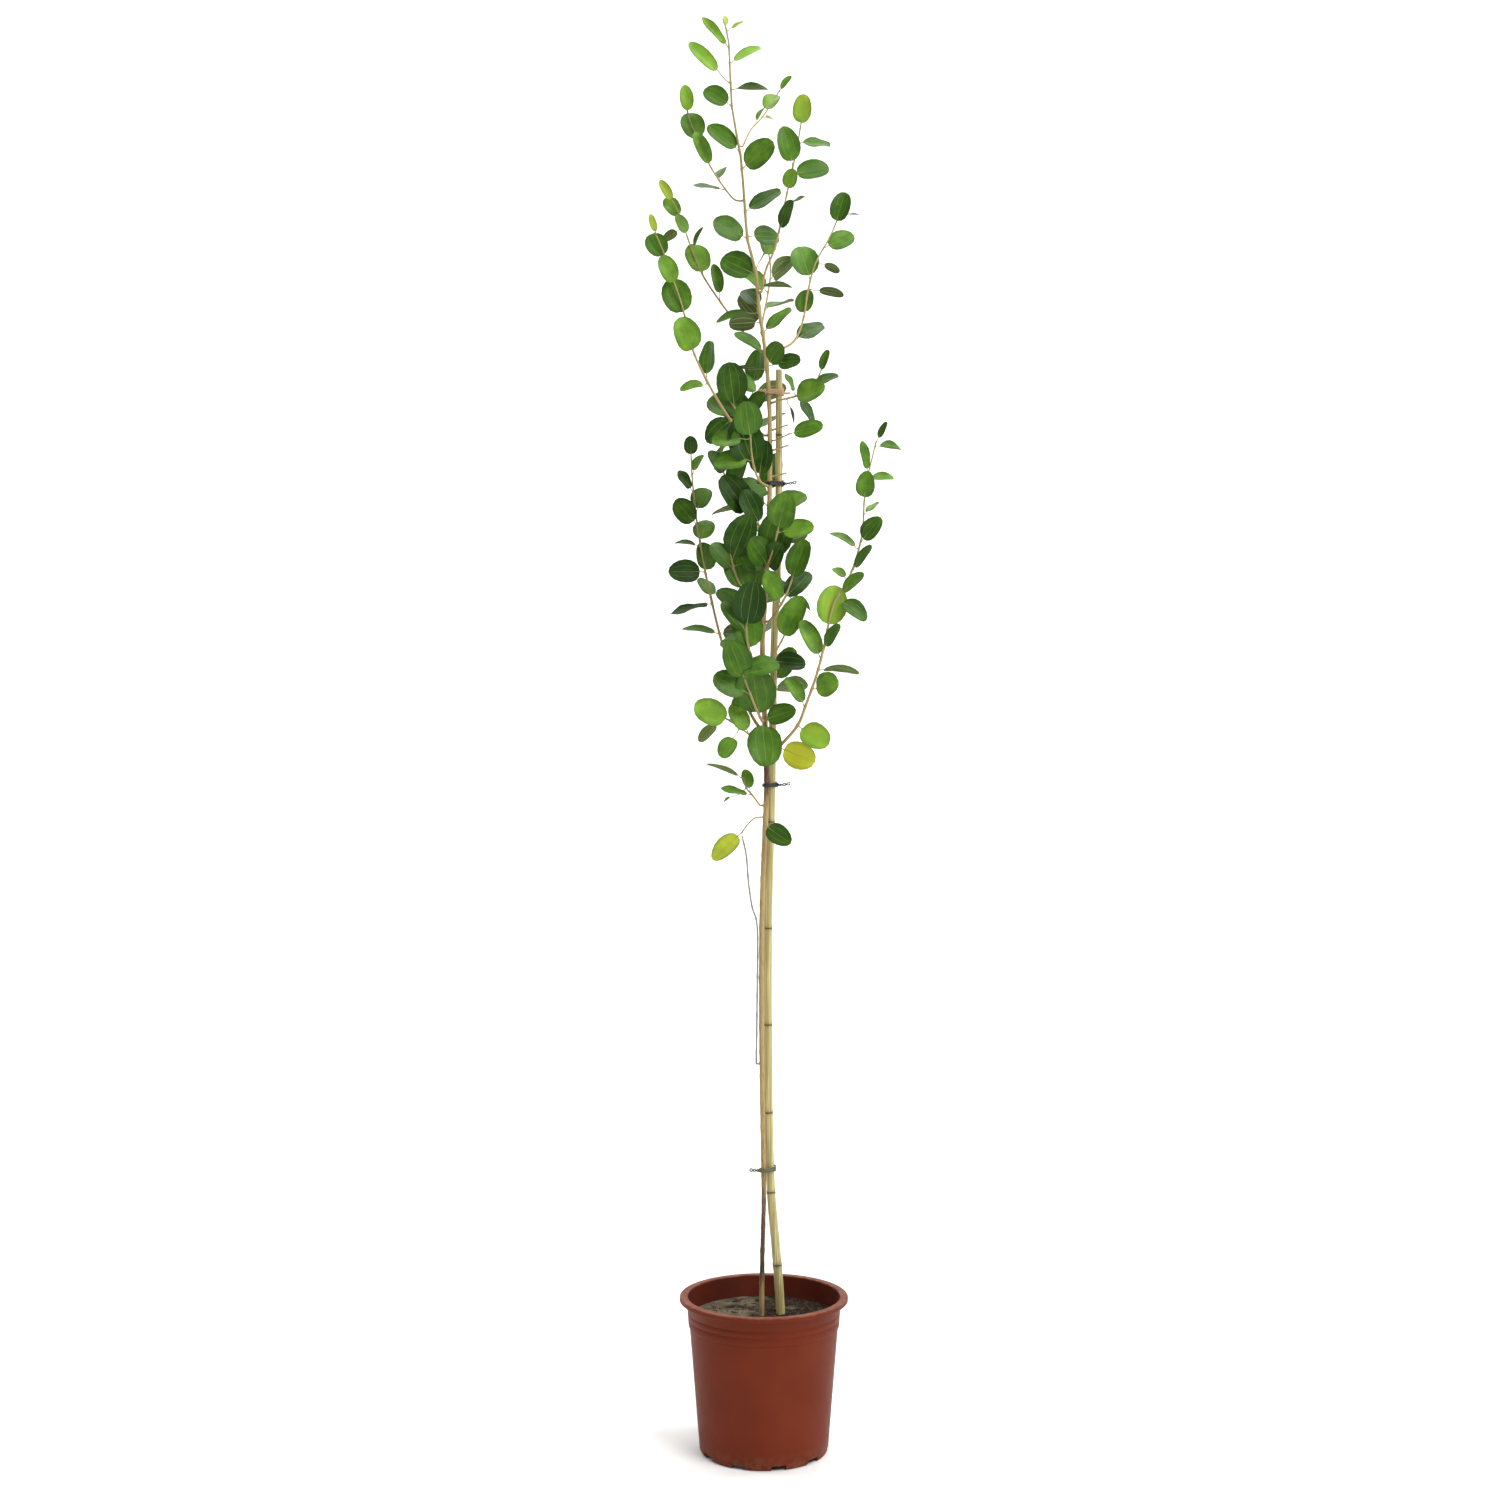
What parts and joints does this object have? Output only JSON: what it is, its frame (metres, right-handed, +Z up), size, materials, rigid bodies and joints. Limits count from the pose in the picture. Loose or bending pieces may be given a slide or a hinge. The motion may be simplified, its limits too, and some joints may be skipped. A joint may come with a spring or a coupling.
{
  "type": "potted jujube tree",
  "caption": "Young jujube tree: a slender trunk tied to a bamboo cane, with leafy side shoots, standing in soil in a round terracotta-coloured nursery pot.",
  "frame": {"origin": "centre of the pot's underside, on the pot's axis", "axes": "+Z up along the pot's axis and the trunk, -Y to the plant's front, +X to the right when the front is seen"},
  "size_m": [0.3461, 0.2312, 1.9719],
  "materials": {
    "pot_plastic": "satin",
    "soil": "matte",
    "bark": "matte",
    "bamboo": "satin",
    "leaf": "satin",
    "dry_wood": "matte",
    "tie_dark": "matte",
    "tie_grey": "matte",
    "tie_raffia": "matte"
  },
  "bodies": {
    "root": {"back_crown_shoot": "leaf", "back_low_shoot": "leaf", "back_lower_shoot": "leaf", "back_middle_shoot": "leaf", "back_upper_shoot": "leaf", "cane": "bamboo", "cane_side_leaf": "leaf", "cane_top_shoot": "leaf", "centre_fork_shoot": "leaf", "centre_front_shoot": "leaf", "centre_left_shoot": "leaf", "crown_left_shoot": "leaf", "crown_right_shoot": "leaf", "dry_twig": "dry_wood", "far_left_shoot": "leaf", "left_shoot": "leaf", "long_stalk_leaf": "leaf", "low_front_shoot": "leaf", "low_left_shoot": "leaf", "lower_centre_shoot": "leaf", "lower_right_shoot": "leaf", "lowest_left_shoot": "leaf", "lowest_right_leaf": "leaf", "middle_front_shoot": "leaf", "middle_left_shoot": "leaf", "middle_right_shoot": "leaf", "outer_right_shoot": "leaf", "pot": "pot_plastic", "right_shoot": "leaf", "soil": "soil", "tie_low": "tie_grey", "tie_middle": "tie_dark", "tie_top": "tie_raffia", "tie_upper": "tie_dark", "trunk": "bark", "upper_left_shoot": "leaf", "upper_right_shoot": "leaf"}
  },
  "joints": []
}
